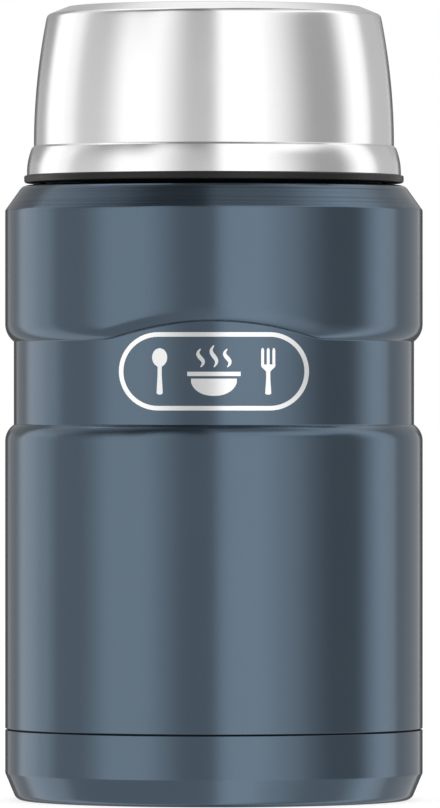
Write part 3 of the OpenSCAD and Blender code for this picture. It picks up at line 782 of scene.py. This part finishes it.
def makeStopperBody(s):
    hole, plug, brim, core, floor = s["stemHole"], s["plug"], s["brim"], s["core"], s["floor"]
    brimLow, brimTop, step, coreLow = s["brimLow"], s["brimTop"], s["coreStep"], s["coreLow"]
    bead, groove, boss = s["bead"], s["groove"], s["boss"]
    lathe("stopperBody", [
        (hole, s["low"], 0.2, 3), (bead[0], s["low"], 0.4), (*bead, 0.3, 3), (groove[0], bead[1], 0.1, 2),
        (*groove, 0.1, 2), (plug, groove[1], 0.35), (plug, brimLow, 0.3, 4), (brim, brimLow, 0.35),
        (brim, brimTop, 0.1, 2), (core, brimTop, 0.1, 2), (core, step, 0.3, 2), (coreLow, step, 0.3, 2),
        (coreLow, floor, 0.3, 2), (boss[0], floor, 0.3, 2), (*boss, 0.1, 2), (hole, boss[1], 0.1, 2)],
        "stopper", blackPlastic, ["stopper_body"])
    threadLugs("stopperThread", plug, True, s, "stopper")
    # the ring has two soft ribs on its outside
    inside, low, high, out = s["gasketIn"], s["gasketLow"], s["gasketHigh"], s["gasketOut"]
    ribs = [(out - s["ribDepth"] * math.sin(2 * math.pi * k / 24) ** 2,
             low + 0.6 + (high - low - 1.2) * k / 24) for k in range(25)]
    lathe("stopperGasket", [
        (inside, low, 0.15, 3), (out - 0.5, low, 0.3), ribs, (out - 0.5, high, 0.3), (inside, high, 0.15, 3)],
        "stopper_carrier", siliconeRubber, ["stopper_gasket"])


def capPath(angle):
    p, hole, brim, brimTop = cap, stopper["stemHole"], stopper["brim"], stopper["brimTop"]
    top, edgeRound, spigotLow = p["top"], p["edgeRound"], p["spigotLow"]
    well, wellFloor, wellLow = p["well"], p["wellFloor"], p["wellLow"]
    inner, outer = p["spigot"]
    pitch = 2 * math.pi / p["notches"]
    across = ((angle / pitch) % 1 - 0.5) * pitch * brim
    centre = brim + p["notchRadius"] - p["notchDepth"]
    cut = 0.0
    if abs(across) < p["notchRadius"]:
        cut = max(0.0, brim - centre + math.sqrt(p["notchRadius"] ** 2 - across ** 2))

    def topAt(r):
        inside = min(r - p["pocketIn"], p["pocketOut"] - r, abs(r * math.cos(angle)) - p["gripBar"] / 2)
        return r, top - p["pocketDepth"] * smooth(inside / p["pocketWall"])

    stations = 62
    first, last = well + 0.6, brim - edgeRound - 0.3
    surface = [topAt(first + (last - first) * k / stations) for k in range(stations + 1)]
    edge = [(r - cut * smooth((r - brim + 1.6) / 1.2), z)
            for r, z in arcRun(brim - edgeRound, top - edgeRound, edgeRound, 88, 0, 9)]
    wall = [(brim - cut * smooth(up / 0.4), p["notchLow"] + up)
            for up in (1.6, 1.0, 0.4, 0.25, 0.1, 0.0, -0.2)]
    return [
        (hole, wellLow, 0.1, 2), (hole, wellFloor, 0.1, 2), (well, wellFloor, 0.3, 3), (well, top, 0.35, 4),
        surface, edge, wall, (brim, brimTop, 0.1, 2), (outer, brimTop, 0.05, 2), (outer, spigotLow, 0.1, 2),
        (inner, spigotLow, 0.1, 2), (inner, brimTop, 0.05, 2), (p["wellOut"], brimTop, 0.1, 2),
        (p["wellOut"], wellLow, 0.1, 2)]


makeStopperBody(stopper)
lathe("stopperCap", capPath, "stopper", blackPlastic, ["stopper_cap"],
      angles=roundAngles(480))
print("stopper built")

valve = {
    "button": 6.0, "top": 165.0, "low": 163.4, "dish": 0.32, "dishIn": 3.9, "dishOut": 4.7, "stem": 1.9,
    "stemLow": 137.35, "barb": 2.7, "barbLow": 136.55, "seal": 6.0, "sealHigh": 138.85,
    "coil": 4.1, "wire": 0.2, "coils": 4, "coilLow": 159.25, "coilHigh": 163.15, "coilGap": 0.05,
    "press": 2.0, "coilFloor": 159.0,
}


def makeSpring(v):
    # the first and last coils lie flat
    verts = []
    perCoil, sides = 40, 10
    total = v["coils"] * perCoil
    rise = v["coilHigh"] - v["coilLow"]
    flat = (2 * v["wire"] + v["coilGap"]) / rise
    for i in range(total + 1):
        coil = i / perCoil
        if coil < 1:
            share = coil * flat
        elif coil > v["coils"] - 1:
            share = 1 - (v["coils"] - coil) * flat
        else:
            share = flat + (coil - 1) * (1 - 2 * flat) / (v["coils"] - 2)
        a = 2 * math.pi * coil
        for k in range(sides):
            turn = 2 * math.pi * k / sides
            r = v["coil"] + v["wire"] * math.cos(turn)
            z = v["coilLow"] + rise * share + v["wire"] * math.sin(turn)
            verts.append((r * math.cos(a), r * math.sin(a), z))
    spring = meshObject("reliefSpring", verts, tubeFaces(0, total, sides), "stopper", springSteel,
                        ["relief_spring"])
    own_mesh(spring)


def makeValve(v):
    top, low, dish, button = v["top"], v["low"], v["top"] - v["dish"], v["button"]
    stem, stemLow, seal, sealHigh = v["stem"], v["stemLow"], v["seal"], v["sealHigh"]
    lathe("reliefButton", [
        (0, dish), (v["dishIn"], dish, 2.0), (v["dishOut"], top, 0.35, 4), (button, top, 0.45),
        (button, low, 0.2, 3), (stem, low, 0.3, 3), (stem, stemLow, 0.05, 2), (v["barb"], stemLow, 0.1, 3),
        (stem, v["barbLow"], 0.2, 3), (0, v["barbLow"])],
        "relief_valve", greyPlastic, ["relief_button"], closed=False, angles=roundAngles(128))
    lathe("reliefSeal", [
        (stem, stemLow, 0.1, 2), (seal, stemLow, 0.5), (seal, sealHigh, 0.3), (stem, sealHigh, 0.1, 2)],
        "relief_valve", siliconeRubber, ["relief_seal"], angles=roundAngles(96))
    makeSpring(v)


makeValve(valve)
print("relief valve built")

# these solids keep their own shape, and only get a finish
keptFinish = {
    "outer_base": innerSteel, "evacuation_plug": sealGlass, "getter_pellet": getterPowder,
    "getter_clip": innerSteel, "radiation_foil": crinkledFoil, "inner_vessel": innerSteel,
    "inner_base": innerSteel, "stopper_insulation": insulationFoam,
}
for name, finish in keptFinish.items():
    for holder in nodes[name].material_slots:
        holder.material = finish
print("finishes put on the kept solids")

studio = {
    "white": 1.0, "ambient": 0.62, "aim": 0.09, "floorHalf": 40.0, "floorGlow": 1.36, "glowShare": 0.55,
    "radius": 1.5, "spacing": 0.02,
    # the cards only show in glossy surfaces, and the nearest one is first: name, from and to azimuth (the
    # camera is at 0), from and to elevation, brightness at -45 degrees, at eye level and at its top, and how
    # softly the left, right, lower and upper edges fade
    "cards": [
        ("rimLeft", -138, -114, 54, 74, 1.25, 1.25, 1.25, 8, 8, 4, 6),
        ("ceilingTop", -180, 180, 80, 90, 0.2, 0.2, 0.2, 1, 1, 8, 2),
        ("ceilingBack", 117, 168, 56, 90, 0.3, 0.3, 0.3, 14, 10, 6, 2),
        ("ceilingRear", 98, 140, 72, 84, 0.22, 0.22, 0.22, 12, 10, 5, 4),
        ("ceilingLeft", -54, -52, 52, 90, 0.16, 0.16, 0.16, 74, 16, 36, 2),
        ("ceilingFront", -50, -9.5, 62, 90, 0.15, 0.15, 0.15, 16, 8, 32, 2),
        ("ceilingRight", -9.5, 60, 62, 90, 0.48, 0.48, 0.48, 8, 45, 16, 2),
        ("cornerLeft", -167, -140, 12, 33, 0.33, 0.33, 0.33, 6, 9, 6, 8),
        ("highLeft", -145, -100, 39, 60, 0.75, 0.75, 0.75, 8, 18, 20, 6),
        ("cornerRight", 151, 163, 12, 40, 0.43, 0.43, 0.43, 6, 6, 6, 8),
        ("highFront", 18, 60, 37, 48, 1.1, 1.1, 1.1, 10, 18, 12, 8),
        ("rearHigh", 165, 195, 12, 20, 0.47, 0.47, 0.47, 10, 10, 6, 30),
        ("groundLeft", -85, -15, -88, -36, 0.57, 0.57, 0.57, 18, 8, 2, 14),
        ("rearMiddle", 172, 188, -88, 3, 0.3, 0.18, 0.18, 4, 4, 2, 8),
        ("rearLeft", -173, -160, -88, 8, 0.3, 0.1, 0.1, 5, 6, 2, 8),
        ("sideLeft", -152, -140, -88, 50, 0.5, 0.42, 0.5, 8, 9, 2, 12),
        ("frontLeft", -93, -79, -88, 42, 0.57, 0.6, 0.42, 13, 20, 2, 12),
        ("front", -13, -2, -88, 86, 0.6, 0.52, 0.25, 24, 7, 2, 2),
        ("frontRight", 69, 83, -88, 25, 0.58, 0.35, 0.35, 36, 17, 2, 16),
        ("sideRight", 121, 150, -88, 29, 0.6, 0.52, 0.45, 5, 10, 2, 14),
        ("rearRight", 160, 173, -88, 8, 0.3, 0.1, 0.1, 6, 5, 2, 8),
        ("boxLeft", -128, -117, -20, 30, 1.15, 1.15, 1.1, 6, 8, 20, 20),
        ("boxNearLeft", -58, -40, -20, 20, 1.1, 1.1, 1.05, 10, 10, 20, 20),
        ("boxFront", 10, 24, -60, 50, 1.25, 1.2, 1.1, 9, 14, 20, 20),
        ("boxRight", 103, 109, -60, 50, 1.2, 1.15, 1.15, 7, 5, 20, 20)],
    "lamps": [("keyLamp", (-1.5, -1.9, 1.7), 1.2, 9.0), ("fillLamp", (1.9, -1.4, 1.0), 1.2, 4.5),
              ("topLamp", (0.1, 0.3, 2.1), 1.4, 9.0)],
    "lens": 438.9,   # millimetres, over a sensor 36 mm wide
    "distance": 2.336, "eye": 0.0936, "shift": (0.0075, 0.0011),
}


def clearedTree(owner):
    owner.use_nodes = True
    owner.node_tree.nodes.clear()
    return owner.node_tree


def makeWorld(s):
    world = bpy.data.worlds.new("paleStudio")
    bpy.context.scene.world = world
    tree = clearedTree(world)
    ambient, backdrop = (
        addNode(tree, "ShaderNodeBackground", at, {"Color": (1, 1, 1), "Strength": strength}).outputs[0]
        for at, strength in (((-100, 80), s["ambient"]), ((-100, -80), s["white"])))
    mixed = mixShaders(tree, (140, 0), seenDirectly(tree, (-700, 0)), ambient, backdrop)
    addNode(tree, "ShaderNodeOutputWorld", (340, 0), {"Surface": mixed})


def makeCard(s, order, name, left, right, low, high, levelLow, level, levelHigh, *softs):
    softLeft, softRight, softLow, softHigh = softs
    radius = s["radius"] + s["spacing"] * order
    left, right, low, high = left - softLeft, right + softRight, low - softLow, high + softHigh
    across, up = 40, 44
    verts, faces, cover, tone = [], [], [], []
    for j in range(up + 1):
        e = low + (high - low) * j / up
        for i in range(across + 1):
            a = left + (right - left) * i / across
            ra, re = math.radians(a), math.radians(max(-89.9, min(e, 89.9)))
            verts.append((radius * math.sin(ra) * math.cos(re), -radius * math.cos(ra) * math.cos(re),
                          radius * math.sin(re) + s["aim"]))
            cover.append(smooth((a - left) / softLeft) * smooth((right - a) / softRight)
                         * smooth((e - low) / softLow) * smooth((high - e) / softHigh))
            tone.append(level + (levelHigh - level) * smooth(e / high) if e > 0
                        else level + (levelLow - level) * smooth(-e / 45))
    for j in range(up):
        for i in range(across):
            p = j * (across + 1) + i
            faces.append((p, p + 1, p + across + 2, p + across + 1))
    mesh = bpy.data.meshes.new(name)
    mesh.from_pydata(verts, [], faces)
    for label, values in (("cover", cover), ("tone", tone)):
        mesh.attributes.new(label, "FLOAT", "POINT").data.foreach_set("value", values)
    made = addObject(name, mesh)
    made.visible_camera = made.visible_diffuse = made.visible_shadow = made.visible_volume_scatter = False
    finish = bpy.data.materials.new(name + "Cloth")
    tree = clearedTree(finish)
    share, bright = (addNode(tree, "ShaderNodeAttribute", at, attribute_name=label).outputs["Fac"]
                     for at, label in (((-400, 100), "cover"), ((-640, -180), "tone")))
    clear = addNode(tree, "ShaderNodeBsdfTransparent", (-400, -60))
    grey = addNode(tree, "ShaderNodeEmission", (-400, -180), {"Color": (1, 1, 1), "Strength": bright})
    mixed = mixShaders(tree, (-100, 0), share, clear.outputs[0], grey.outputs[0])
    addNode(tree, "ShaderNodeOutputMaterial", (120, 0), {"Surface": mixed})
    mesh.materials.append(finish)


def makeFloor(s):
    mesh = bpy.data.meshes.new("studioFloor")
    half = s["floorHalf"]
    mesh.from_pydata([(-half, -half, 0), (half, -half, 0), (half, half, 0), (-half, half, 0)], [],
                     [(0, 1, 2, 3)])
    made = addObject("studioFloor", mesh)
    finish, tree, shader, place = startMaterial("paleFloor", {"Roughness": 0.85, "Specular IOR Level": 0.1})
    mottle = noiseNode(tree, (-700, 0), place, 9.0, 4.0)
    feed(tree, shader.inputs["Base Color"],
         mixColour(tree, (-450, 0), mottle, (0.90, 0.90, 0.90), (0.93, 0.93, 0.93)))
    side = addNode(tree, "ShaderNodeNewGeometry", (-450, 700))
    glow = addNode(tree, "ShaderNodeEmission", (-200, 240), {"Color": (1, 1, 1), "Strength": s["floorGlow"]})
    clear = addNode(tree, "ShaderNodeBsdfTransparent", (100, 260))
    share = mathNode(tree, "MULTIPLY", (100, 420), seenDirectly(tree, (-450, 420)), s["glowShare"])
    lift = mixShaders(tree, (260, 120), share, shader.outputs[0], glow.outputs[0])
    # clear from its back, so that the underside can be looked at from below
    through = mixShaders(tree, (460, 120), side.outputs["Backfacing"], lift, clear.outputs[0])
    feed(tree, tree.nodes["Material Output"].inputs["Surface"], through)
    mesh.materials.append(finish)
    made.visible_glossy = False   # the cards and the white surroundings go on below it in the metal


def makeLamp(s, name, place, size, power):
    data = bpy.data.lights.new(name, "AREA")
    data.shape, data.size, data.energy = "DISK", size, power
    made = addObject(name, data)
    made.location = place
    made.visible_glossy = made.visible_camera = False
    aim = bpy.data.objects["body:jar"].matrix_world.translation - made.location
    aim.z += s["aim"]
    made.rotation_euler = aim.to_track_quat("-Z", "Y").to_euler()


def makeCamera(s):
    data = bpy.data.cameras.new("frontCamera")
    data.lens, data.sensor_width, data.sensor_fit = s["lens"], 36.0, "AUTO"
    data.shift_x, data.shift_y = s["shift"]
    data.clip_start, data.clip_end = 0.05, 100.0
    made = addObject("frontCamera", data)
    made.location = (0, -s["distance"], s["eye"])
    made.rotation_euler = (math.pi / 2, 0, 0)
    bpy.context.scene.camera = made


makeWorld(studio)
for order, card in enumerate(studio["cards"]):
    makeCard(studio, order, *card)
makeFloor(studio)
for lamp in studio["lamps"]:
    makeLamp(studio, *lamp)
makeCamera(studio)
bpy.context.scene.view_settings.view_transform = "Standard"
print("studio set")
